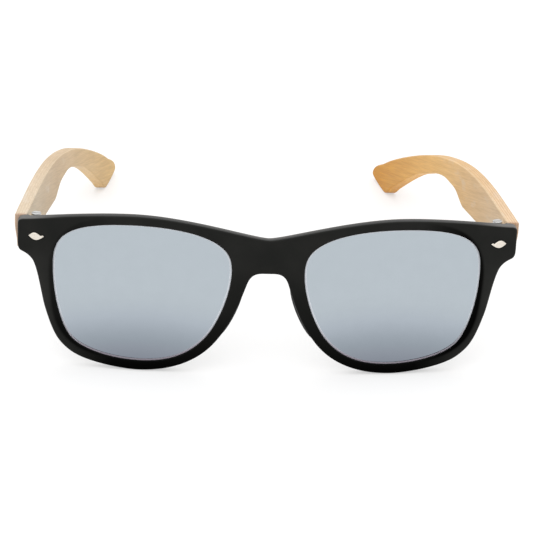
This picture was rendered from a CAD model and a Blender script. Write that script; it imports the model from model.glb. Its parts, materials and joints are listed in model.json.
"""Sunglasses with a matte plastic front, silver mirror lenses and bamboo temples."""

import json
import math

import bmesh
import bpy
import numpy as np
from mathutils import Matrix, Vector
from mathutils.geometry import delaunay_2d_cdt


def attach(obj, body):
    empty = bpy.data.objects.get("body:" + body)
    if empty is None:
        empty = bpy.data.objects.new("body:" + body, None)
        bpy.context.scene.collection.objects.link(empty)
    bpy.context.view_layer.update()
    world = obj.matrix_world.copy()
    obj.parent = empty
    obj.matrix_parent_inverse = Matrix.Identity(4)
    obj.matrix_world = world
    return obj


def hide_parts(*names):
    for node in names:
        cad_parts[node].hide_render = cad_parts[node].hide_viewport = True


MM = 0.001

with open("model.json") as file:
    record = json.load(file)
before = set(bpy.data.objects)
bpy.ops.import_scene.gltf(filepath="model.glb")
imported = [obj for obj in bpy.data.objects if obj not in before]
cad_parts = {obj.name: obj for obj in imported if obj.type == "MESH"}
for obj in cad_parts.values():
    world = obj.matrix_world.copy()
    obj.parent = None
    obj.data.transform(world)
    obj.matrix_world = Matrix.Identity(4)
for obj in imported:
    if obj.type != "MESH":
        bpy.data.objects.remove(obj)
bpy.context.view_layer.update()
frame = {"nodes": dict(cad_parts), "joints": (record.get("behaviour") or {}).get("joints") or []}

# Sizes of the object in millimetres, upright: rim bottoms at Z = 0, bridge front at Y = 0
FRAME_WIDTH = 145.0
FRAME_HEIGHT = 48.0
WRAP_RADIUS = 440.0
RIM_DEPTH = 3.2
SHOULDER_DEPTH = 4.0
LENS_SPACING = 21.2
END_WIDTH = 10.3
RIM_ABOVE_LENS = 2.7
RIM_BELOW_LENS = 2.7
BRIDGE_DROP = 6.0
BRIDGE_HEIGHT = 10.4
END_DROP = 2.6
END_HEIGHT = 10.4
SHOULDER_REACH = 0.7
SEAT_REACH = 8.2
SEAT_STEP = 0.1
SEAT_MARGIN = 0.1
LENS_RADIUS = 260.0
LENS_THICKNESS = 1.5
LENS_SETBACK = 0.25
GROOVE_DEPTH = 0.8
LENS_EDGE_GAP = 0.05
BOARD_THICKNESS = 3.5
BOARD_INSET = 2.7
BOARD_ANGLE = 10.5
BEND_START = 66.0
BEND_RADIUS = 800.0
TEMPLE_REACH = 140.0
BOARD_DROP = 0.2
BOARD_HEIGHT = 10.2
STEP_Y = 52.0
STEP_FALL = 2.0
WAIST_DROP = 5.7
WAIST_HEIGHT = 6.3
TIP_DROP = 39.4
BOARD_GAP = 1.0
BARREL_DIAMETER = 3.0
LEAF_THICKNESS = 1.0
STOP_GAP = 0.3
HINGE_DROP = 7.9
BARREL_HEIGHT = 8.2
ORNAMENT_LENGTH = 4.6
ORNAMENT_INSET = 5.4
ORNAMENT_PROUD = 0.4

HALF_WIDTH = FRAME_WIDTH / 2
BRIDGE_TOP = FRAME_HEIGHT - BRIDGE_DROP
BRIDGE_UNDERSIDE = BRIDGE_TOP - BRIDGE_HEIGHT
LENS_WIDTH = (FRAME_WIDTH - LENS_SPACING) / 2 - END_WIDTH
LENS_HEIGHT = FRAME_HEIGHT - RIM_ABOVE_LENS - RIM_BELOW_LENS
LENS_X = (LENS_SPACING + LENS_WIDTH) / 2
LENS_Z = RIM_BELOW_LENS + LENS_HEIGHT / 2
LENS_HALF_W = LENS_WIDTH / 2
LENS_HALF_H = LENS_HEIGHT / 2
LENS_TURN = math.asin(LENS_X / WRAP_RADIUS)
END_TOP = FRAME_HEIGHT - END_DROP
END_BOTTOM = END_TOP - END_HEIGHT
BOARD_TOP = END_TOP - BOARD_DROP
BOARD_BOTTOM = BOARD_TOP - BOARD_HEIGHT
STEP_BOTTOM = END_TOP - BOARD_HEIGHT - STEP_FALL
BOARD_INNER_X = HALF_WIDTH - BOARD_INSET
HINGE_HEIGHT = FRAME_HEIGHT - HINGE_DROP
SHOULDER_X = BOARD_INNER_X - SHOULDER_REACH
SEAT_INNER_X = BOARD_INNER_X - SEAT_REACH
SEAT_BOTTOM = HINGE_HEIGHT - BARREL_HEIGHT / 2 - SEAT_MARGIN
SEAT_TOP = HINGE_HEIGHT + BARREL_HEIGHT / 2 + SEAT_MARGIN
ORNAMENT_X = HALF_WIDTH - ORNAMENT_INSET
ORNAMENT_Z = HINGE_HEIGHT + 0.2
ORNAMENT_TURN = math.asin(ORNAMENT_X / WRAP_RADIUS)
TIP_RISE = FRAME_HEIGHT - TIP_DROP
WAIST_TOP = FRAME_HEIGHT - WAIST_DROP

# Detail of the meshes in millimetres. Each rounding is (radius, steps) at the front, or inner,
# side of the edge and then at the other side.
OUTER_ROUNDING = ((0.5, 4), (0.9, 5))
OPENING_ROUNDING = ((0.3, 3), (0.4, 3))
BOARD_ROUNDING = ((0.55, 4), (0.55, 3))
FRONT_SPACING, FRONT_GRID = 0.42, 1.1
BOARD_SPACING, BOARD_GRID = 0.5, 1.6
LEAF_SPACING, LEAF_GRID = 0.06, 0.11
LENS_GRID = 1.3

SIDE_NAMES = {-1: "left", 1: "right"}


def wrap_y(x, radius):
    """Depth of the wrapped face of that radius at the distance x from the middle plane."""
    return WRAP_RADIUS - np.sqrt(radius * radius - np.square(x))


SEAT_Y = float(wrap_y(SHOULDER_X, WRAP_RADIUS - RIM_DEPTH)) + SEAT_STEP
SHOULDER_Y = float(wrap_y(HALF_WIDTH - 3, WRAP_RADIUS)) + SHOULDER_DEPTH
BOARD_START_Y = SHOULDER_Y + STOP_GAP
FACE_OFFSET = BARREL_DIAMETER / 2 + BOARD_GAP
HINGE_X = BOARD_INNER_X - FACE_OFFSET / math.cos(math.radians(BOARD_ANGLE))
HINGE_Y = SEAT_Y + LEAF_THICKNESS + STOP_GAP + BARREL_DIAMETER / 2

# The assembly leans back until it stands: the foot of the right hinge gives how far it moved
hinge = next(j for j in frame["joints"] if j["name"] == "right_temple_fold")
LEAN = math.asin(hinge["axis"][1])
TURN = Matrix.Rotation(-LEAN, 4, "X")
FOOT = Vector((HINGE_X, HINGE_Y, HINGE_HEIGHT - BARREL_HEIGHT / 2))
SHIFT = Vector(hinge["pos_m"]) - TURN @ (FOOT * MM)
STANDING = Matrix.Translation(SHIFT) @ TURN


# Curves


def cubic(a, b, c, d, t):
    t = t[:, None]
    return (1 - t) ** 3 * a + 3 * (1 - t) ** 2 * t * b + 3 * (1 - t) * t * t * c + t**3 * d


def heading(degrees):
    angle = math.radians(degrees)
    return np.array([math.cos(angle), math.sin(angle)])


def stretch(p, q, steps=40):
    """Curve between two nodes of the form [across, up, heading, reach before, reach after]."""
    at_p, at_q = np.array(p[:2], float), np.array(q[:2], float)
    ahead_p, ahead_q = p[4] * heading(p[2]), q[3] * heading(q[2])
    return cubic(at_p, at_p + ahead_p, at_q - ahead_q, at_q, np.arange(steps) / steps)


def open_line(nodes):
    """Line through the nodes, without its last point."""
    return np.vstack([stretch(p, q) for p, q in zip(nodes, nodes[1:])])


def closed_line(nodes):
    return open_line(nodes + nodes[:1])


def resample(points, spacing):
    """Closed outline with evenly spaced points."""
    loop = np.vstack([points, points[:1]])
    along = np.concatenate([[0], np.cumsum(np.linalg.norm(np.diff(loop, axis=0), axis=1))])
    count = int(along[-1] / spacing)
    at = np.arange(count) * along[-1] / count
    return np.stack([np.interp(at, along, loop[:, k]) for k in (0, 1)], axis=1)


def outward(loop):
    """Outward normals of a clockwise outline, smoothed a little round its corners."""
    ahead = np.roll(loop, -1, 0) - np.roll(loop, 1, 0)
    normal = np.stack([-ahead[:, 1], ahead[:, 0]], axis=1)
    normal /= np.linalg.norm(normal, axis=1)[:, None]
    for _ in range(2):
        normal = np.roll(normal, 1, 0) + 2 * normal + np.roll(normal, -1, 0)
        normal /= np.linalg.norm(normal, axis=1)[:, None]
    return normal


def inset_ring(loop, normal, inset):
    """The outline drawn in by that much, with the points that cross at a corner drawn together."""
    too_small_to_cross = 0.02
    nearest_share = 0.96
    ring = loop - normal * inset
    if inset < too_small_to_cross:
        return ring
    bad = distance(ring, loop) < inset * nearest_share
    bad |= np.roll(bad, 1) | np.roll(bad, -1)
    good = np.flatnonzero(~bad)
    at = np.arange(len(loop))
    for k in (0, 1):
        ring[:, k] = np.interp(at, good, ring[good, k], period=len(loop))
    return ring


def inside(points, loop):
    """Which points lie inside a closed outline."""
    x, y = points[:, 0][:, None], points[:, 1][:, None]
    x1, y1 = loop[:, 0][None], loop[:, 1][None]
    x2, y2 = np.roll(loop[:, 0], -1)[None], np.roll(loop[:, 1], -1)[None]
    crosses = (y1 > y) != (y2 > y)
    at = (x2 - x1) * (y - y1) / np.where(y2 == y1, 1e-12, y2 - y1) + x1
    return (np.sum(crosses & (x < at), axis=1) % 2) == 1


def distance(points, loop, chunk=2000):
    """Distance of each point to the nearest point of a finely spaced outline."""
    out = np.empty(len(points))
    for i in range(0, len(points), chunk):
        part = points[i : i + chunk]
        out[i : i + chunk] = np.linalg.norm(part[:, None] - loop[None], axis=2).min(1)
    return out


def smoothstep(value, low, high):
    t = np.clip((value - low) / (high - low), 0, 1)
    return t * t * (3 - 2 * t)


# Meshes


def new_piece(name, vertices, faces, body, materials):
    """Mesh object from upright millimetre points, stood up in the row frame, riding on a body."""
    mesh = bpy.data.meshes.new(name)
    mesh.from_pydata([tuple(v) for v in vertices], [], [tuple(f) for f in faces])
    mesh.transform(STANDING @ Matrix.Scale(MM, 4))
    mesh.update()
    built = bmesh.new()
    built.from_mesh(mesh)
    bmesh.ops.recalc_face_normals(built, faces=built.faces)
    built.to_mesh(mesh)
    built.free()
    for polygon in mesh.polygons:
        polygon.use_smooth = True
    piece = bpy.data.objects.new(name, mesh)
    bpy.context.scene.collection.objects.link(piece)
    for look in materials:
        mesh.materials.append(look)
    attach(piece, body)
    return piece


def weighted(piece):
    """Shading normals follow the large faces, so that the narrow edge bands read as rounded."""
    modifier = piece.modifiers.new("weighted_normals", "WEIGHTED_NORMAL")
    modifier.keep_sharp = False
    modifier.weight = 60


def carry(piece, name, values):
    """Lets the mesh points carry numbers or vectors, which a material reads by that name."""
    values = np.asarray(values, dtype=np.float32)
    kind, key = ("FLOAT", "value") if values.ndim == 1 else ("FLOAT_VECTOR", "vector")
    attribute = piece.data.attributes.new(name, kind, "POINT")
    attribute.data.foreach_set(key, values.ravel())


def band(start, n):
    """Quads between the ring of n points that begins at start and the ring that follows it."""
    after = [(i + 1) % n for i in range(n)]
    return [(start + i, start + j, start + n + j, start + n + i) for i, j in enumerate(after)]


def grid(loop, step, stagger=0.21):
    """Points over the box of an outline, every other one shifted so that no four form a square."""
    low, high = loop.min(0), loop.max(0)
    a = np.arange(low[0] + step / 2, high[0], step)
    b = np.arange(low[1] + step / 2, high[1], step)
    points = np.stack(np.meshgrid(a, b), axis=-1).reshape(-1, 2)
    points[::2] += step * stagger
    return points


def fill(outer, holes, extra, clearance):
    """Triangles between an outer loop and its holes. The loops' points come first, in order."""
    inside_only, merge_distance = 1, 1e-7
    loops = [outer, *holes]
    keep = inside(extra, outer) & (distance(extra, outer) > clearance)
    for hole in holes:
        keep &= ~inside(extra, hole) & (distance(extra, hole) > clearance)
    points = np.vstack([*loops, extra[keep]])
    edges, start = [], 0
    for loop in loops:
        n = len(loop)
        edges += [(start + i, start + (i + 1) % n) for i in range(n)]
        start += n
    vectors = [Vector(p) for p in points]
    made = delaunay_2d_cdt(vectors, edges, [], inside_only, merge_distance, True)
    faces, origin = made[2], made[3]
    if not all(origin):
        raise ValueError("two outlines cross")
    faces = np.array([[origin[i][0] for i in face] for face in faces])
    middle = points[faces].mean(1)
    good = inside(middle, outer)
    for hole in holes:
        good &= ~inside(middle, hole)
    return points, faces[good]


def edge_profile(rounding_a, rounding_b, hold):
    """Steps round the edge of a plate, from side a to side b: (side, inset, drop)."""

    def quarter(side, radius, steps):
        turns = [math.pi / 2 * i / steps for i in range(steps + 1)]
        return [(side, radius * (1 - math.sin(t)), radius * (1 - math.cos(t))) for t in turns]

    start = ("a", rounding_a[0] + hold, 0.0)
    end = ("b", rounding_b[0] + hold, 0.0)
    return [start, *quarter("a", *rounding_a), *reversed(quarter("b", *rounding_b)), end]


def rounded_plate(loops, side_a, side_b, roundings, step, held=None, hold=0.2):
    """Plate between two surfaces over the plane region between loops[0] and the other loops.

    side_a and side_b give the depth at plane points. roundings holds, for each loop, the radius
    and steps of its edge on side a and on side b. held gives points that side b has to keep, and
    hold is the width of the flat band inside each rounding. Returns plane points, depths and faces.
    """
    surfaces = {"a": side_a, "b": side_b}
    inner = {"a": [], "b": []}
    plane, depth, faces, count = [], [], [], 0
    for k, (loop, rounding) in enumerate(zip(loops, roundings)):
        normal = outward(loop) * (1 if k == 0 else -1)
        through = np.sign(side_b(loop) - side_a(loop))
        profile = edge_profile(*rounding, hold)
        n = len(loop)
        for side, inset, drop in profile:
            ring = inset_ring(loop, normal, inset)
            plane.append(ring)
            depth.append(surfaces[side](ring) + through * (drop if side == "a" else -drop))
        for r in range(len(profile) - 1):
            faces += band(count + r * n, n)
        inner["a"].append((count, plane[-len(profile)]))
        count += len(profile) * n
        inner["b"].append((count - n, plane[-1]))
    apart_from_held, apart_from_ring = 0.5 * step, 0.45 * step
    for side, extra in (("a", None), ("b", held)):
        rings = [ring for _, ring in inner[side]]
        points = grid(rings[0], step)
        if extra is not None:
            points = np.vstack([points[distance(points, extra) > apart_from_held], extra])
        points, triangles = fill(rings[0], rings[1:], points, apart_from_ring)
        fresh = points[sum(map(len, rings)) :]
        runs = [np.arange(start, start + len(ring)) for start, ring in inner[side]]
        lookup = np.concatenate([*runs, np.arange(count, count + len(fresh))])
        plane.append(fresh)
        depth.append(surfaces[side](fresh))
        count += len(fresh)
        faces += [tuple(lookup[t]) for t in triangles]
    return np.vstack(plane), np.concatenate(depth), faces


# Nodes of the materials. A socket is the output of a node, and a plain number stands for a grey.


def material(name):
    made = bpy.data.materials.new(name)
    made.use_nodes = True
    return made, made.node_tree, made.node_tree.nodes["Principled BSDF"]


def is_socket(value):
    return isinstance(value, bpy.types.NodeSocket)


def rgba(colour):
    return (*colour, 1) if isinstance(colour, tuple) else (colour, colour, colour, 1)


def srgb(*levels):
    """Linear colour of an 8-bit display colour."""
    shares = [level / 255 for level in levels]
    return tuple(s / 12.92 if s <= 0.04045 else ((s + 0.055) / 1.055) ** 2.4 for s in shares)


def node(tree, kind, **inputs):
    made = tree.nodes.new(kind)
    for key, value in inputs.items():
        made.inputs[key].default_value = value
    return made


def ramp(tree, factor, stops):
    """Colour that runs through the stops, each a position and a colour, as the factor rises."""
    made = tree.nodes.new("ShaderNodeValToRGB")
    elements = made.color_ramp.elements
    while len(elements) < len(stops):
        elements.new(0.5)
    for element, (position, colour) in zip(elements, stops):
        element.position = position
        element.color = rgba(colour)
    tree.links.new(factor, made.inputs["Fac"])
    return made.outputs["Color"]


def math_node(tree, operation, *values, clamp=False):
    made = tree.nodes.new("ShaderNodeMath")
    made.operation = operation
    made.use_clamp = clamp
    for k, value in enumerate(values):
        if is_socket(value):
            tree.links.new(value, made.inputs[k])
        else:
            made.inputs[k].default_value = value
    return made.outputs[0]


def mix(tree, factor, a, b, blend="MIX"):
    made = tree.nodes.new("ShaderNodeMix")
    made.data_type = "RGBA"
    made.blend_type = blend
    for key, value in (("Factor", factor), ("A", a), ("B", b)):
        socket = next(s for s in made.inputs if s.name == key and s.enabled)
        if is_socket(value):
            tree.links.new(value, socket)
        else:
            socket.default_value = value if key == "Factor" else rgba(value)
    return next(s for s in made.outputs if s.enabled)


def times(tree, a, b, share=1.0):
    """Product of two colours or masks, or a part of the way to it."""
    return mix(tree, share, a, b, "MULTIPLY")


def split(tree, vector):
    made = tree.nodes.new("ShaderNodeSeparateXYZ")
    tree.links.new(vector, made.inputs["Vector"])
    return made.outputs["X"], made.outputs["Y"], made.outputs["Z"]


def object_place(tree):
    return tree.nodes.new("ShaderNodeTexCoord").outputs["Object"]


def carried(tree, name, output="Fac"):
    """What the mesh carries under that name."""
    made = tree.nodes.new("ShaderNodeAttribute")
    made.attribute_name = name
    return made.outputs[output]


def facing_up(tree):
    """How far the surface faces up: 1 for a top, -1 for an underside."""
    shape = tree.nodes.new("ShaderNodeNewGeometry")
    return split(tree, shape.outputs["Normal"])[2]


def noise(tree, place, scale, detail, roughness, distortion=0.0):
    made = node(tree, "ShaderNodeTexNoise", Scale=scale, Detail=detail, Roughness=roughness)
    made.inputs["Distortion"].default_value = distortion
    tree.links.new(place, made.inputs["Vector"])
    return made.outputs["Fac"]


def drawn_out(tree, place, scales, *pattern):
    """Noise drawn out along the axis that has the small scale."""
    mapping = node(tree, "ShaderNodeMapping", Scale=scales)
    tree.links.new(place, mapping.inputs["Vector"])
    return noise(tree, mapping.outputs["Vector"], *pattern)


def finish_with(tree, shader, colour, pattern, least, spread):
    """Links the colour, and a roughness that a fine pattern spreads upwards from the least."""
    tree.links.new(colour, shader.inputs["Base Color"])
    rough = math_node(tree, "MULTIPLY_ADD", pattern, spread, least)
    tree.links.new(rough, shader.inputs["Roughness"])


def relief(tree, shader, pattern, strength, height):
    """Bumps of that height in millimetres."""
    made = node(tree, "ShaderNodeBump", Strength=strength, Distance=height * MM)
    tree.links.new(pattern, made.inputs["Height"])
    tree.links.new(made.outputs["Normal"], shader.inputs["Normal"])
    return made


# Materials


def beside_lens(tree, x, z):
    """Where a point of the rims lies, in half sizes of the lens.

    The first value is how far outboard of the lens's middle it lies. The second grows from 0
    beside the lens to 1 at a fifth of a half size away from it.
    """
    across = math_node(
        tree,
        "MULTIPLY_ADD",
        math_node(tree, "ABSOLUTE", x),
        1 / (LENS_HALF_W * MM),
        -LENS_X / LENS_HALF_W,
    )
    across = math_node(tree, "MAXIMUM", across, 0.0)
    upward = math_node(tree, "MULTIPLY_ADD", z, 1 / (LENS_HALF_H * MM), -LENS_Z / LENS_HALF_H)
    # The cubic oval round the middle of the lens is a little larger above than below
    oval = math_node(
        tree,
        "ADD",
        math_node(tree, "POWER", across, 3.0),
        math_node(tree, "POWER", math_node(tree, "ABSOLUTE", upward), 3.0),
    )
    lens_line = math_node(tree, "MULTIPLY_ADD", upward, -0.075, -0.99)
    away = math_node(tree, "ADD", math_node(tree, "POWER", oval, 1 / 3), lens_line)
    return across, math_node(tree, "MULTIPLY", away, 5.0, clamp=True)


def rim_light(tree, x, z):
    """How light the rims look: lighter upwards and outwards, darker close beside each lens."""
    full_height = 45.0
    height = math_node(tree, "MULTIPLY", z, 1 / (full_height * MM), clamp=True)
    light = ramp(tree, height, [(0.0, 0.05), (0.3, 0.45), (0.75, 1.0)])
    across, away = beside_lens(tree, x, z)
    outboard = ramp(tree, across, [(0.3, 0.0), (0.8, 1.0)])
    # The dark band beside the lens is stronger on the right
    dark = times(tree, ramp(tree, away, [(0.12, 1.0), (0.26, 0.0)]), outboard)
    right = math_node(tree, "MULTIPLY_ADD", x, 1 / MM, 0.5, clamp=True)
    strength = math_node(tree, "MULTIPLY_ADD", right, -0.5, -0.3)
    kept = math_node(tree, "ADD", 1.0, math_node(tree, "MULTIPLY", dark, strength))
    light = math_node(tree, "MULTIPLY", light, kept)
    outer = ramp(tree, away, [(0.15, 0.0), (0.32, 0.7), (0.65, 1.0)])
    gains = [(0.0, 0.2), (0.12, 0.9), (0.5, 0.75), (0.7, 0.3), (0.8, 0.04), (0.92, 0.0)]
    gain = times(tree, ramp(tree, height, gains), times(tree, outer, outboard))
    return math_node(tree, "ADD", light, gain)


def dust(tree, x, y, z):
    """Share of dust on the top: towards the back of the rims, and all over the ends."""
    top = ramp(tree, facing_up(tree), [(0.55, 0.0), (0.97, 1.0)])
    sideways = math_node(tree, "ABSOLUTE", math_node(tree, "MULTIPLY", x, 1 / (HALF_WIDTH * MM)))
    amounts = [(0.0, 1.0), (0.12, 0.8), (0.32, 0.4), (0.8, 0.4), (0.96, 0.66)]
    settled = ramp(tree, sideways, amounts)
    # Depth behind the wrapped face as a share of the rims' depth
    square = math_node(tree, "MULTIPLY", x, x)
    curve = math_node(tree, "MULTIPLY", square, -0.5 / (WRAP_RADIUS * MM))
    lean = math_node(tree, "MULTIPLY", z, -math.tan(LEAN))
    depth = math_node(tree, "ADD", math_node(tree, "ADD", y, curve), lean)
    depth = math_node(tree, "SUBTRACT", depth, SHIFT.y)
    depth = math_node(tree, "MULTIPLY", depth, 1 / (RIM_DEPTH * MM), clamp=True)
    rear = ramp(tree, depth, [(0.25, 0.0), (0.9, 1.0)])
    ends = ramp(tree, sideways, [(0.82, 0.0), (0.93, 1.0)])
    return times(tree, times(tree, top, settled), mix(tree, 1.0, rear, ends, "LIGHTEN"))


def plastic_material():
    """Fine matte black, duller low on the rims, with a little dust along the top."""
    made, tree, shader = material("matte_black_plastic")
    place = object_place(tree)
    fine = noise(tree, place, 5200.0, 3.0, 0.6)
    soft = noise(tree, place, 90.0, 4.0, 0.55)
    rubbed = noise(tree, place, 420.0, 2.0, 0.5)
    x, y, z = split(tree, place)
    light = rim_light(tree, x, z)
    colour = ramp(tree, soft, [(0.3, srgb(19, 20, 18)), (0.7, srgb(28, 28, 26))])
    colour = times(tree, colour, light)
    colour = mix(tree, dust(tree, x, y, z), colour, srgb(112, 110, 108))
    finish_with(tree, shader, colour, rubbed, 0.38, 0.12)
    for name, share in (("Specular IOR Level", 0.13), ("Sheen Weight", 0.22)):
        tree.links.new(math_node(tree, "MULTIPLY", light, share), shader.inputs[name])
    relief(tree, shader, fine, 0.12, 0.04)
    shader.inputs["IOR"].default_value = 1.38
    shader.inputs["Sheen Roughness"].default_value = 0.4
    return made


MIRROR_TONES = [
    (0.0, srgb(132, 138, 149)),
    (0.095, srgb(144, 151, 161)),
    (0.155, srgb(150, 159, 168)),
    (0.215, srgb(158, 167, 176)),
    (0.275, srgb(167, 176, 185)),
    (0.335, srgb(175, 184, 193)),
    (0.395, srgb(180, 189, 197)),
    (0.47, srgb(184, 193, 200)),
    (0.56, srgb(186, 195, 202)),
]


def lens_material():
    """Silver mirror coating: pale above, darker towards the bottom, with a satin ground edge."""
    made, tree, shader = material("silver_mirror_coating")
    across, up, _ = split(tree, carried(tree, "lens_place", "Vector"))
    side = math_node(tree, "POWER", math_node(tree, "ABSOLUTE", across), 2.0)
    height = math_node(tree, "MULTIPLY_ADD", side, 0.2, up)
    height = math_node(tree, "MULTIPLY_ADD", height, 0.5, 0.5)
    speck = noise(tree, object_place(tree), 260.0, 3.0, 0.5)
    haze = ramp(tree, speck, [(0.35, 0.985), (0.65, 1.0)])
    colour = times(tree, ramp(tree, height, MIRROR_TONES), haze)
    edge = carried(tree, "lens_edge")
    satin = ramp(tree, height, [(0.1, srgb(182, 175, 187)), (0.4, srgb(222, 226, 233))])
    finish_with(tree, shader, mix(tree, edge, colour, satin), speck, 0.05, 0.03)
    tree.links.new(math_node(tree, "SUBTRACT", 1.0, edge), shader.inputs["Metallic"])
    return made


def smoked_material():
    """Dark uncoated back of the lenses."""
    made, tree, shader = material("smoked_lens_back")
    speck = noise(tree, object_place(tree), 180.0, 3.0, 0.5)
    colour = ramp(tree, speck, [(0.3, srgb(46, 48, 52)), (0.7, srgb(52, 54, 58))])
    finish_with(tree, shader, colour, speck, 0.06, 0.04)
    return made


def bamboo_faces(tree, place, along, fibres, streaks, tones, streak):
    """Broad faces of a board: streaks, fine fibres, soft clouds and scuffs near the hinge."""
    base = ramp(tree, along, tones)
    pale = times(tree, base, (1.05, 1.05, 1.04))
    strength = ramp(tree, along, [(0.0, 0.35), (0.5, 0.6), (0.9, 1.0)])
    dark = mix(tree, strength, base, times(tree, base, streak))
    colour = mix(tree, ramp(tree, streaks, [(0.34, 0.0), (0.66, 1.0)]), dark, pale)
    fine = ramp(tree, fibres, [(0.38, (0.86, 0.83, 0.78)), (0.62, (1.05, 1.04, 1.03))])
    colour = times(tree, colour, fine, 0.8)
    clouds = drawn_out(tree, place, (0.5, 1.0, 1.0), 45.0, 3.0, 0.5)
    warm = ramp(tree, clouds, [(0.35, (0.93, 0.90, 0.85)), (0.65, 1.04)])
    colour = times(tree, colour, warm, 0.9)
    patches = drawn_out(tree, place, (0.6, 1.0, 1.0), 190.0, 2.0, 0.5)
    scuffs = ramp(tree, patches, [(0.56, 0.0), (0.7, 0.4)])
    near_hinge = ramp(tree, along, [(0.15, 1.0), (0.5, 0.0)])
    return mix(tree, times(tree, scuffs, near_hinge), colour, srgb(222, 210, 194))


def bamboo_edges(tree, faces, along, across, glue, glue_share):
    """The faces' colour with the cut edges added: layers, glue lines, browned ends."""
    layer, end_band = 0.76, 1.2
    border = carried(tree, "board_edge")
    on_edge = ramp(tree, border, [(0.35, 0.0), (0.75, 1.0)])
    colour = mix(tree, on_edge, faces, times(tree, faces, (0.88, 0.89, 0.93)))
    phase = math_node(tree, "FRACT", math_node(tree, "MULTIPLY", across, 1 / (layer * MM)))
    line = math_node(tree, "ABSOLUTE", math_node(tree, "SUBTRACT", phase, 0.5))
    line = times(tree, ramp(tree, line, [(0.36, 0.0), (0.49, 1.0)]), on_edge)
    colour = mix(tree, times(tree, line, glue_share), colour, glue)

    # The sanded upper corner between face and edge is paler
    facing = facing_up(tree)
    corner = ramp(tree, border, [(0.0, 0.0), (0.3, 0.5), (0.7, 0.0)])
    upper = ramp(tree, facing, [(0.1, 0.0), (0.35, 1.0)])
    colour = mix(tree, times(tree, corner, upper), colour, srgb(232, 214, 188))

    # The edges are browned round the tip, and the underside is as pale as the faces
    tip = ramp(tree, along, [(0.72, 0.0), (1.0, 0.45)])
    colour = mix(tree, times(tree, tip, on_edge), colour, srgb(158, 100, 44))
    downward = math_node(tree, "MULTIPLY", facing, -1.0, clamp=True)
    under = ramp(tree, downward, [(0.15, 0.0), (0.45, 0.85)])
    pale = times(tree, faces, (1.15, 1.17, 1.25))
    colour = mix(tree, times(tree, under, on_edge), colour, pale)

    # The end at the hinge is browned all round
    start = carried(tree, "board_start")
    from_end = math_node(tree, "MULTIPLY", start, 1 / (end_band * MM), clamp=True)
    end = ramp(tree, from_end, [(0.0, 0.4), (1.0, 0.0)])
    return mix(tree, end, colour, srgb(170, 122, 100))


def bamboo_material(name, tones, streak, glue, glue_share):
    """Laminated bamboo board: long fibres, pale at the hinge and warmer at the tip.

    The mesh carries its place in the board as (along, up, across) in metres.
    """
    grain_length = 125.0
    made, tree, shader = material(name)
    place = carried(tree, "board_place", "Vector")
    along, _, across = split(tree, place)
    along = math_node(tree, "MULTIPLY", along, 1 / (grain_length * MM), clamp=True)
    fibres = drawn_out(tree, place, (0.035, 1.0, 1.0), 3400.0, 5.0, 0.6)
    streaks = drawn_out(tree, place, (0.045, 1.0, 0.8), 900.0, 4.0, 0.6, 0.3)
    faces = bamboo_faces(tree, place, along, fibres, streaks, tones, streak)
    colour = bamboo_edges(tree, faces, along, across, glue, glue_share)
    finish_with(tree, shader, colour, fibres, 0.42, 0.2)
    relief(tree, shader, mix(tree, 0.5, fibres, streaks), 0.25, 0.06)
    shader.inputs["IOR"].default_value = 1.42
    return made


def steel_material():
    """Lightly brushed steel with worn edges."""
    made, tree, shader = material("brushed_hinge_steel")
    brushed = drawn_out(tree, object_place(tree), (1.0, 1.0, 0.06), 9000.0, 3.0, 0.6)
    colour = ramp(tree, brushed, [(0.3, (0.50, 0.50, 0.49)), (0.7, (0.72, 0.71, 0.70))])
    finish_with(tree, shader, colour, brushed, 0.2, 0.2)
    bump = relief(tree, shader, brushed, 0.15, 0.02)
    worn = node(tree, "ShaderNodeBevel", Radius=0.12 * MM)
    tree.links.new(worn.outputs["Normal"], bump.inputs["Normal"])
    shader.inputs["Metallic"].default_value = 1.0
    return made


def ornament_material():
    made, tree, shader = material("satin_pale_silver")
    satin = noise(tree, object_place(tree), 4200.0, 4.0, 0.6)
    colour = ramp(tree, satin, [(0.3, srgb(226, 216, 202)), (0.7, srgb(246, 240, 230))])
    finish_with(tree, shader, colour, satin, 0.22, 0.2)
    relief(tree, shader, satin, 0.2, 0.02)
    shader.inputs["Metallic"].default_value = 0.85
    return made


PLASTIC = plastic_material()
MIRROR = lens_material()
SMOKED = smoked_material()
STEEL = steel_material()
SILVER = ornament_material()
LEFT_TONES = [(0.0, srgb(220, 204, 180)), (0.25, srgb(208, 184, 152)), (1.0, srgb(211, 177, 116))]
RIGHT_TONES = [(0.0, srgb(224, 197, 163)), (0.45, srgb(225, 182, 114)), (1.0, srgb(203, 142, 8))]
BAMBOO = {
    -1: bamboo_material("bamboo_left", LEFT_TONES, (0.90, 0.87, 0.82), srgb(170, 134, 92), 0.4),
    1: bamboo_material("bamboo_right", RIGHT_TONES, (0.87, 0.79, 0.64), srgb(176, 124, 70), 0.8),
}

# Front

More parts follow.
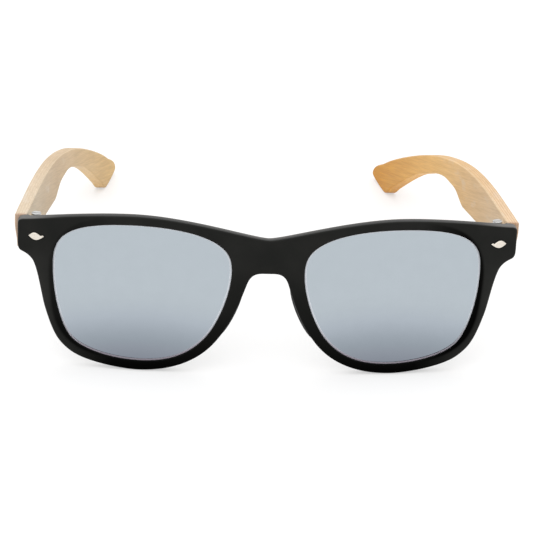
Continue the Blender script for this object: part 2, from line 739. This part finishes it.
FRONT_NODES = [
    [0, BRIDGE_TOP, 0, 3, 4.3],
    [LENS_X + 2.7, FRAME_HEIGHT, 0, 16, 12.7],
    [HALF_WIDTH - 1.8, END_TOP, -5, 5.1, 1],
    [HALF_WIDTH, END_TOP - 1.6, -90, 1, 1.5],
    [HALF_WIDTH, END_BOTTOM + 3.3, -90, 1.5, 4.2],
    [HALF_WIDTH - 4.1, END_BOTTOM - 1.9, -129, 4.1, 2.7],
    [LENS_X + 1.089 * LENS_HALF_W, LENS_Z - 0.261 * LENS_HALF_H, -106.3, 3.4, 9.3],
    [LENS_X + 0.81 * LENS_HALF_W, RIM_BELOW_LENS + 2.5, -140.7, 3.9, 5.9],
    [LENS_X + 0.8, 0, -180, 3.9, 10.6],
    [LENS_X - 0.853 * LENS_HALF_W, LENS_Z - 0.652 * LENS_HALF_H, 126.7, 7.8, 7.6],
    [LENS_X - LENS_HALF_W - 4.5, BRIDGE_UNDERSIDE - 3.7, 108.5, 7, 1.4],
    [2.8, BRIDGE_UNDERSIDE - 0.1, 170.6, 2.2, 1],
    [0, BRIDGE_UNDERSIDE, 180, 1.3, 1],
]
# The lens opening, as shares of its half width and half height
LENS_NODES = [
    [0.1, 1, 0, 0.44, 0.71],
    [1, 0.45, -88, 0.36, 0.47],
    [0.78, -0.71, -127, 0.21, 0.25],
    [0, -1, -180, 0.27, 0.34],
    [-0.73, -0.61, 123, 0.31, 0.29],
    [-0.983, 0.54, 77, 0.32, 0.37],
]
half = np.vstack([open_line(FRONT_NODES), [[0, BRIDGE_UNDERSIDE]]])
FRONT_LOOP = resample(np.vstack([half, (half[1:-1] * [-1, 1])[::-1]]), FRONT_SPACING)
opening = closed_line(LENS_NODES) * [LENS_HALF_W, LENS_HALF_H] + [LENS_X, LENS_Z]
RIGHT_LENS_LOOP = resample(opening, FRONT_SPACING)
LEFT_LENS_LOOP = (RIGHT_LENS_LOOP * [-1, 1])[::-1]

# Width of the slope at each step on the back, and the rows of points that hold such a step
SEAT_SLOPE = 0.15
SEAT_ROWS = (-0.3, -0.15, -0.1, -0.05, 0.0, 0.1)
SHOULDER_SLOPE = 0.08
SHOULDER_ROWS = (-0.18, -0.08, 0.0, 0.08, 0.18)
ROW_SPACING = 0.4
ROWS_BOTTOM = END_BOTTOM - 10
ROWS_TOP = END_TOP + 0.6
ROWS_START_X = SEAT_INNER_X + 0.3


def front_face(points):
    return wrap_y(points[:, 0], WRAP_RADIUS)


def rear_face(points):
    """Back of the rims, with the seat of each hinge and the shoulder of each temple."""
    x = np.abs(points[:, 0])
    z = points[:, 1]
    depth = wrap_y(x, WRAP_RADIUS - RIM_DEPTH)
    seat = (
        smoothstep(x, SEAT_INNER_X - SEAT_SLOPE, SEAT_INNER_X)
        * smoothstep(z, SEAT_BOTTOM - SEAT_SLOPE, SEAT_BOTTOM)
        * (1 - smoothstep(z, SEAT_TOP, SEAT_TOP + SEAT_SLOPE))
    )
    depth = depth + seat * np.maximum(SEAT_Y - depth, 0)
    shoulder = smoothstep(x, SHOULDER_X - SHOULDER_SLOPE, SHOULDER_X + SHOULDER_SLOPE)
    return depth + shoulder * (SHOULDER_Y - depth)


def step_points():
    """Rows of points that hold the steps at the back of the end-pieces."""
    up = np.arange(ROWS_BOTTOM, ROWS_TOP, ROW_SPACING)
    across = np.arange(ROWS_START_X, SHOULDER_X - ROW_SPACING, ROW_SPACING)
    upright = [SEAT_INNER_X + x for x in SEAT_ROWS] + [SHOULDER_X + x for x in SHOULDER_ROWS]
    level = [z for row in SEAT_ROWS for z in (SEAT_BOTTOM + row, SEAT_TOP - row)]
    rows = [np.stack([np.full_like(up, x), up], axis=1) for x in upright]
    rows += [np.stack([across, np.full_like(across, z)], axis=1) for z in level]
    rows = np.vstack(rows)
    return np.vstack([rows, rows * [-1, 1]])


def front():
    plane, depth, faces = rounded_plate(
        [FRONT_LOOP, LEFT_LENS_LOOP, RIGHT_LENS_LOOP],
        front_face,
        rear_face,
        [OUTER_ROUNDING, OPENING_ROUNDING, OPENING_ROUNDING],
        FRONT_GRID,
        held=step_points(),
    )
    vertices = np.stack([plane[:, 0], depth, plane[:, 1]], axis=1)
    piece = new_piece("front_shell", vertices, faces, "front", [PLASTIC])
    weighted(piece)
    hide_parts("front_frame")


# Nose pads, moulded with the rims

PAD_X = LENS_SPACING / 2 + 0.6
PAD_Z = LENS_Z - 4.5
PAD_HALF_LENGTH = 9.0
PAD_HALF_WIDTH = 1.7
PAD_LEAN = math.radians(23)
PAD_FLARE = math.radians(10)
PAD_REACH = 4.6
PAD_BACK_RADIUS = 12.0
PAD_ROUNDING = 0.55
PAD_SUNK = 0.6
PAD_CLEARANCE = 0.15
PAD_POINTS = 72


def clear_of_lens(points):
    """Plane points, with those too near the lens opening moved away from it."""
    gap = np.linalg.norm(points[:, None] - RIGHT_LENS_LOOP[None], axis=2)
    clear = np.where(inside(points, RIGHT_LENS_LOOP), -gap.min(1), gap.min(1))
    push = np.clip(PAD_CLEARANCE - clear, 0, None)
    return points + outward(RIGHT_LENS_LOOP)[gap.argmin(1)] * push[:, None]


def pad_ring(share, drop, down, spread):
    """Ring of the right pad: share of its oval, drop below its back, way down its wall, spread."""
    turn = 2 * np.pi * np.arange(PAD_POINTS) / PAD_POINTS
    wide = share * (PAD_HALF_WIDTH + spread) * np.cos(turn)
    long = share * (PAD_HALF_LENGTH + spread) * np.sin(turn)
    a = wide * math.cos(PAD_LEAN) - long * math.sin(PAD_LEAN)
    b = wide * math.sin(PAD_LEAN) + long * math.cos(PAD_LEAN)
    bulge = np.sqrt(np.maximum(PAD_BACK_RADIUS**2 - a * a - b * b, 1))
    top = bulge - (PAD_BACK_RADIUS - PAD_REACH)
    height = (top - drop) * (1 - down) - PAD_SUNK * down
    x = PAD_X + a * math.cos(PAD_FLARE) + height * math.sin(PAD_FLARE)
    y = RIM_DEPTH - a * math.sin(PAD_FLARE) + height * math.cos(PAD_FLARE)
    flat = clear_of_lens(np.stack([x, PAD_Z + b], axis=1))
    return np.stack([flat[:, 0], y, flat[:, 1]], axis=1)


def nose_pad(side):
    """Leaning oval with a rounded back, its foot spread into the rim."""
    rings = [pad_ring(share, 0.0, 0.0, 0.0) for share in (0.12, 0.3, 0.5, 0.68, 0.8, 0.88)]
    for angle in (30, 55, 75, 90):
        cosine, sine = heading(angle)
        rings.append(pad_ring(0.88 + 0.12 * sine, PAD_ROUNDING * (1 - cosine), 0.0, 0.0))
    for down, spread in ((0.35, 0.0), (0.7, 0.12), (0.88, 0.4), (1.0, 0.9)):
        rings.append(pad_ring(1.0, PAD_ROUNDING, down, spread))
    out, back = PAD_REACH * math.sin(PAD_FLARE), PAD_REACH * math.cos(PAD_FLARE)
    vertices = np.vstack([*rings, [[PAD_X + out, RIM_DEPTH + back, PAD_Z]]])
    middle = len(vertices) - 1
    faces = [(middle, i, (i + 1) % PAD_POINTS) for i in range(PAD_POINTS)]
    for r in range(len(rings) - 1):
        faces += band(r * PAD_POINTS, PAD_POINTS)
    faces.append(tuple(range(middle - PAD_POINTS, middle)))
    name = SIDE_NAMES[side]
    piece = new_piece(f"nose_pad_{name}", vertices * [side, 1, 1], faces, "front", [PLASTIC])


# Lenses

# Insets of the lens's rings from the rim's edge: the first lies in the groove
LENS_RINGS = np.array([LENS_EDGE_GAP - GROOVE_DEPTH, -0.25, 0.0, 0.15, 0.3, 0.45, 0.6, 1.0])
LENS_BEVEL = 0.06
LENS_BEVEL_WIDTH = 0.6
LENS_SATIN_FADE = 0.15


def lens_sphere(points, radius):
    """Depth of a lens surface of that radius; both surfaces have one centre behind the rims."""
    reach = LENS_SETBACK + LENS_RADIUS - WRAP_RADIUS
    centre_x = -math.sin(LENS_TURN) * reach
    centre_y = math.cos(LENS_TURN) * reach + WRAP_RADIUS
    flat = radius**2 - (points[:, 0] - centre_x) ** 2 - (points[:, 1] - LENS_Z) ** 2
    return centre_y - np.sqrt(flat)


def lens(side):
    """Curved lens seated in its groove, with a narrow bevel where it meets the rim."""
    loop = RIGHT_LENS_LOOP
    n = len(loop)
    rings = [loop - outward(loop) * inset for inset in LENS_RINGS]
    points, triangles = fill(rings[-1], [], grid(loop, LENS_GRID), clearance=0.6)
    fresh = points[n:]
    plane = np.vstack([*rings, fresh])

    def over_rings(values):
        return np.concatenate([np.repeat(values, n), np.zeros(len(fresh))])

    bevel = over_rings(LENS_BEVEL * (1 - np.clip(LENS_RINGS / LENS_BEVEL_WIDTH, 0, 1)) ** 1.5)
    front_y = lens_sphere(plane, LENS_RADIUS) + bevel
    back_y = lens_sphere(plane, LENS_RADIUS - LENS_THICKNESS)
    x, z = plane[:, 0], plane[:, 1]
    vertices = np.vstack([np.stack([x, y, z], axis=1) for y in (front_y, back_y)])

    count = len(plane)
    last = (len(rings) - 1) * n
    sheet = [quad for r in range(len(rings) - 1) for quad in band(r * n, n)]
    sheet += [tuple(last + t) for t in triangles]
    faces = sheet + [tuple(count + i for i in face) for face in sheet]
    faces += [(i, (i + 1) % n, count + (i + 1) % n, count + i) for i in range(n)]
    materials = [0] * len(sheet) + [1] * len(sheet) + [0] * n
    name = SIDE_NAMES[side]
    mirrored = vertices * [side, 1, 1]
    piece = new_piece(f"mirror_lens_{name}", mirrored, faces, "front", [MIRROR, SMOKED])
    for polygon, index in zip(piece.data.polygons, materials):
        polygon.material_index = index
    across, up = (x - LENS_X) / LENS_HALF_W, (z - LENS_Z) / LENS_HALF_H
    place = np.stack([across, up, np.zeros(count)], axis=1)
    carry(piece, "lens_place", np.tile(place, (2, 1)))
    satin = np.clip((LENS_BEVEL_WIDTH - LENS_RINGS) / LENS_SATIN_FADE, 0, 1)
    carry(piece, "lens_edge", np.tile(over_rings(satin), 2))
    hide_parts(f"lens_{name}")


# Temple boards

TEMPLE_NODES = [
    [BOARD_START_Y, BOARD_TOP, 2, 1, 9],
    [36, FRAME_HEIGHT - 0.9, 1, 10, 15],
    [75, FRAME_HEIGHT - 6.6, -15.5, 14, 17],
    [TEMPLE_REACH - 10, TIP_RISE + 9.9, -31, 11.5, 3.5],
    [TEMPLE_REACH, TIP_RISE + 3, -80, 3.2, 0.9],
    [TEMPLE_REACH - 2.7, TIP_RISE + 1.3, -168, 1.5, 2.5],
    [TEMPLE_REACH - 11.4, TIP_RISE, 180, 2.6, 1.8],
    [TEMPLE_REACH - 17.2, TIP_RISE + 3.5, 147, 1.8, 7],
    [94.5, FRAME_HEIGHT - 19.7, 159, 9, 7],
    [68.2, WAIST_TOP - WAIST_HEIGHT, 180, 8.5, 4],
    [59, WAIST_TOP - WAIST_HEIGHT - 0.4, 197, 2.8, 2.5],
    [STEP_Y, STEP_BOTTOM, 186, 2.4, 1],
]
lower_front = [[STEP_Y, STEP_BOTTOM], [BOARD_START_Y, BOARD_BOTTOM]]
BOARD_LOOP = resample(np.vstack([open_line(TEMPLE_NODES), lower_front]), BOARD_SPACING)
BOARD_EDGE_WIDTH = 0.3
GRAIN_FALL = math.radians(15)
# The two boards show different stretches of the grain
GRAIN_SHIFT = 40
# The outer front corner is eased backwards from its end, the most below
EASED_FROM_Y, EASED_TO_Y = BOARD_START_Y + 0.3, BOARD_START_Y + 6.0
EASED_LOW_Z, EASED_HIGH_Z = END_BOTTOM + 0.5, END_TOP - 2.9
EASED_ABOVE = 0.15
EASED_MORE_BELOW = 0.75


def board_x(y, offset):
    """Distance from the middle plane of the board's face at that offset from its inner face."""
    beta = math.radians(BOARD_ANGLE)
    out = FACE_OFFSET + offset
    along = (y - HINGE_Y - out * math.sin(beta)) / math.cos(beta)
    straight = HINGE_X + out * math.cos(beta) - along * math.sin(beta)
    centre_out = FACE_OFFSET - BEND_RADIUS
    centre_x = HINGE_X + centre_out * math.cos(beta) - BEND_START * math.sin(beta)
    centre_y = HINGE_Y + centre_out * math.sin(beta) + BEND_START * math.cos(beta)
    radius = BEND_RADIUS + offset
    swept = centre_x + radius * np.sqrt(1 - np.square((y - centre_y) / radius))
    return np.where(along <= BEND_START, straight, swept)


def board(side):
    """Bamboo board with its place in the grain, its edges and its front end carried along."""
    plane, depth, faces = rounded_plate(
        [BOARD_LOOP],
        lambda p: board_x(p[:, 0], 0.0),
        lambda p: board_x(p[:, 0], BOARD_THICKNESS),
        [BOARD_ROUNDING],
        BOARD_GRID,
        hold=0.25,
    )
    y, z = plane[:, 0], plane[:, 1]
    low, high = board_x(y, 0.0), board_x(y, BOARD_THICKNESS)
    across = (depth - low) / (high - low) * BOARD_THICKNESS
    eased = 1 - smoothstep(y, EASED_FROM_Y, EASED_TO_Y)
    eased *= EASED_ABOVE + EASED_MORE_BELOW * (1 - smoothstep(z, EASED_LOW_Z, EASED_HIGH_Z))
    x = depth - eased * across / BOARD_THICKNESS
    from_start = y - BOARD_START_Y
    along = from_start * math.cos(GRAIN_FALL) - z * math.sin(GRAIN_FALL)
    up = from_start * math.sin(GRAIN_FALL) + z * math.cos(GRAIN_FALL)
    name = SIDE_NAMES[side]
    mirrored = np.stack([x, y, z], axis=1) * [side, 1, 1]
    piece = new_piece(f"bamboo_board_{name}", mirrored, faces, f"{name}_temple", [BAMBOO[side]])
    carry(piece, "board_place", np.stack([along, up + GRAIN_SHIFT * side, across], axis=1) * MM)
    carry(piece, "board_edge", np.clip(1 - distance(plane, BOARD_LOOP) / BOARD_EDGE_WIDTH, 0, 1))
    carry(piece, "board_start", from_start * MM)
    weighted(piece)
    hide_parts(f"temple_{name}")


# Leaf ornaments, as shares of half their length

LEAF_TOP = [[-0.56, 0.08, 40, 0, 0.25], [0.25, 0.5, 0, 0.3, 0.3], [1, 0.07, -40, 0.3, 0]]
LEAF_BOTTOM = [
    [1, 0.07, -130, 0, 0.3],
    [0.03, -0.51, 180, 0.4, 0.4],
    [-1, 0, 145, 0.3, 0.02],
    [-0.72, 0.16, -15, 0.14, 0.05],
]
# Rings of the leaf from its foot in the front up to its blade: inset and height
LEAF_RINGS = [
    (0.0, -0.45),
    (0.03, ORNAMENT_PROUD - 0.18),
    (0.08, ORNAMENT_PROUD - 0.06),
    (0.14, ORNAMENT_PROUD - 0.02),
]
BLADE_HOLLOW = 0.05
HOLLOW_START, HOLLOW_END = 0.2, 0.45
MIDRIB_HEIGHT = 0.06
MIDRIB_WIDTH = 0.09
MIDRIB_BOW = 0.13
MIDRIB_DROP = 0.07
MIDRIB_REACH = 2.2
MIDRIB_START_X = -1.3


def ornament(side):
    """Small pressed leaf: raised rim, hollowed blade and a midrib."""
    shape = np.vstack([open_line(LEAF_TOP), open_line(LEAF_BOTTOM), [LEAF_BOTTOM[-1][:2]]])
    loop = resample(shape * ORNAMENT_LENGTH / 2, LEAF_SPACING)
    n = len(loop)
    rings = [inset_ring(loop, outward(loop), inset) for inset, _ in LEAF_RINGS]
    points, triangles = fill(rings[-1], [], grid(loop, LEAF_GRID), clearance=0.06)
    fresh = points[n:]
    x, z = fresh[:, 0], fresh[:, 1]
    from_rim = smoothstep(distance(fresh, loop), HOLLOW_START, HOLLOW_END)
    midrib = MIDRIB_BOW * (1 - np.square(x / MIDRIB_REACH)) - MIDRIB_DROP
    ridge = np.exp(-np.square((z - midrib) / MIDRIB_WIDTH)) * (x > MIDRIB_START_X)
    blade = ORNAMENT_PROUD - BLADE_HOLLOW * from_rim + MIDRIB_HEIGHT * ridge
    plane = np.vstack([*rings, fresh])
    height = np.concatenate([np.repeat([height for _, height in LEAF_RINGS], n), blade])
    last = len(rings) - 1
    faces = [quad for r in range(last) for quad in band(r * n, n)]
    faces += [tuple(last * n + t) for t in triangles]
    faces.append(tuple(range(n)))
    # The leaf follows the wrap of the front: along it, out of it and up
    sine, cosine = math.sin(ORNAMENT_TURN), math.cos(ORNAMENT_TURN)
    out = WRAP_RADIUS + height
    x = plane[:, 0] * cosine + out * sine
    y = plane[:, 0] * sine - out * cosine + WRAP_RADIUS
    mirrored = np.stack([x, y, plane[:, 1] + ORNAMENT_Z], axis=1) * [side, 1, 1]
    name = SIDE_NAMES[side]
    piece = new_piece(f"silver_leaf_{name}", mirrored, faces, "front", [SILVER])
    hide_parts(f"ornament_{name}")


front()
for build in (nose_pad, lens, board, ornament):
    for side in (-1, 1):
        build(side)

# Hinges and screws keep their CAD shape
for part in frame["nodes"].values():
    if not part.hide_render:
        part.data.materials.clear()
        part.data.materials.append(STEEL)

# Studio

WHITE = (1, 1, 1, 1)
GROUND_HALF = 4
SHADOW_FADE = 0.5
AMBIENT = 0.82


def ground_material():
    """Pale floor that the camera sees with faded shadows, and reflections as plain white."""
    made, tree, shader = material("pale_ground")
    shader.inputs["Base Color"].default_value = rgba(0.93)
    shader.inputs["Roughness"].default_value = 0.9
    shader.inputs["Specular IOR Level"].default_value = 0.1
    light = node(tree, "ShaderNodeEmission", Color=WHITE)
    path = tree.nodes.new("ShaderNodeLightPath")
    blend = tree.nodes.new("ShaderNodeMixShader")
    faded = math_node(tree, "MULTIPLY", path.outputs["Is Camera Ray"], SHADOW_FADE)
    share = math_node(tree, "MAXIMUM", path.outputs["Is Glossy Ray"], faded)
    tree.links.new(share, blend.inputs["Fac"])
    tree.links.new(shader.outputs["BSDF"], blend.inputs[1])
    tree.links.new(light.outputs["Emission"], blend.inputs[2])
    tree.links.new(blend.outputs["Shader"], tree.nodes["Material Output"].inputs["Surface"])
    return made


def ground():
    corners = [(-1, -1), (1, -1), (1, 1), (-1, 1)]
    mesh = bpy.data.meshes.new("ground")
    vertices = [(x * GROUND_HALF, y * GROUND_HALF, 0) for x, y in corners]
    mesh.from_pydata(vertices, [], [(0, 1, 2, 3)])
    mesh.materials.append(ground_material())
    floor = bpy.data.objects.new("ground", mesh)
    bpy.context.scene.collection.objects.link(floor)


def white_room():
    """Soft light from all round; whatever the camera or a reflection sees of it is plain white."""
    world = bpy.data.worlds.new("studio")
    bpy.context.scene.world = world
    world.use_nodes = True
    tree = world.node_tree
    soft = tree.nodes["Background"]
    soft.inputs["Color"].default_value = WHITE
    soft.inputs["Strength"].default_value = AMBIENT
    seen = node(tree, "ShaderNodeBackground", Color=WHITE, Strength=1.0)
    path = tree.nodes.new("ShaderNodeLightPath")
    rays = [path.outputs[f"Is {kind} Ray"] for kind in ("Camera", "Glossy", "Transmission")]
    either = math_node(tree, "MAXIMUM", math_node(tree, "MAXIMUM", rays[0], rays[1]), rays[2])
    blend = tree.nodes.new("ShaderNodeMixShader")
    tree.links.new(either, blend.inputs["Fac"])
    tree.links.new(soft.outputs["Background"], blend.inputs[1])
    tree.links.new(seen.outputs["Background"], blend.inputs[2])
    tree.links.new(blend.outputs["Shader"], tree.nodes["World Output"].inputs["Surface"])


def softbox(name, place, target, size, watts):
    light = bpy.data.lights.new(name, "AREA")
    light.shape = "RECTANGLE"
    light.size, light.size_y = size
    light.energy = watts
    lamp = bpy.data.objects.new(name, light)
    lamp.location = place
    lamp.rotation_mode = "QUATERNION"
    lamp.rotation_quaternion = (Vector(target) - Vector(place)).to_track_quat("-Z", "Y")
    bpy.context.scene.collection.objects.link(lamp)


ground()
white_room()
softbox("key_light", (-0.3, -0.4, 0.9), (0, 0, 0.02), (1.2, 0.9), 4.2)
softbox("top_light", (0.2, 0.3, 0.9), (0, 0.02, 0.02), (1.3, 0.9), 4.0)

# Camera at the photograph's angle, fitted to it: distance and target in millimetres

DISTANCE = 819.5
ELEVATION = math.radians(22.4)
SIDE_ANGLE = math.radians(-3.9)
ROLL = math.radians(2.455)
TARGET = Vector((-0.646, 0, 34.137))
FOCAL_PIXELS = 2838.2
IMAGE_PIXELS = 533.0
SENSOR = 36.0


def photo_camera():
    data = bpy.data.cameras.new("photo_camera")
    data.sensor_width = SENSOR
    data.lens = SENSOR * FOCAL_PIXELS / IMAGE_PIXELS
    data.clip_start, data.clip_end = 0.05, 20.0
    camera = bpy.data.objects.new("photo_camera", data)
    bpy.context.scene.collection.objects.link(camera)
    sideways, forwards = math.sin(SIDE_ANGLE), -math.cos(SIDE_ANGLE)
    level, rise = math.cos(ELEVATION), math.sin(ELEVATION)
    backwards = Vector((sideways * level, forwards * level, rise))
    right = (-backwards).cross(Vector((0, 0, 1))).normalized()
    above = right.cross(-backwards)
    rolled_right = right * math.cos(ROLL) + above * math.sin(ROLL)
    rolled_up = above * math.cos(ROLL) - right * math.sin(ROLL)
    look = Matrix((rolled_right, rolled_up, backwards)).transposed().to_4x4()
    place = STANDING @ ((TARGET + backwards * DISTANCE) * MM)
    camera.matrix_world = Matrix.Translation(place) @ (TURN @ look)
    bpy.context.scene.camera = camera


photo_camera()
bpy.context.scene.view_settings.view_transform = "Standard"

bpy.context.view_layer.update()
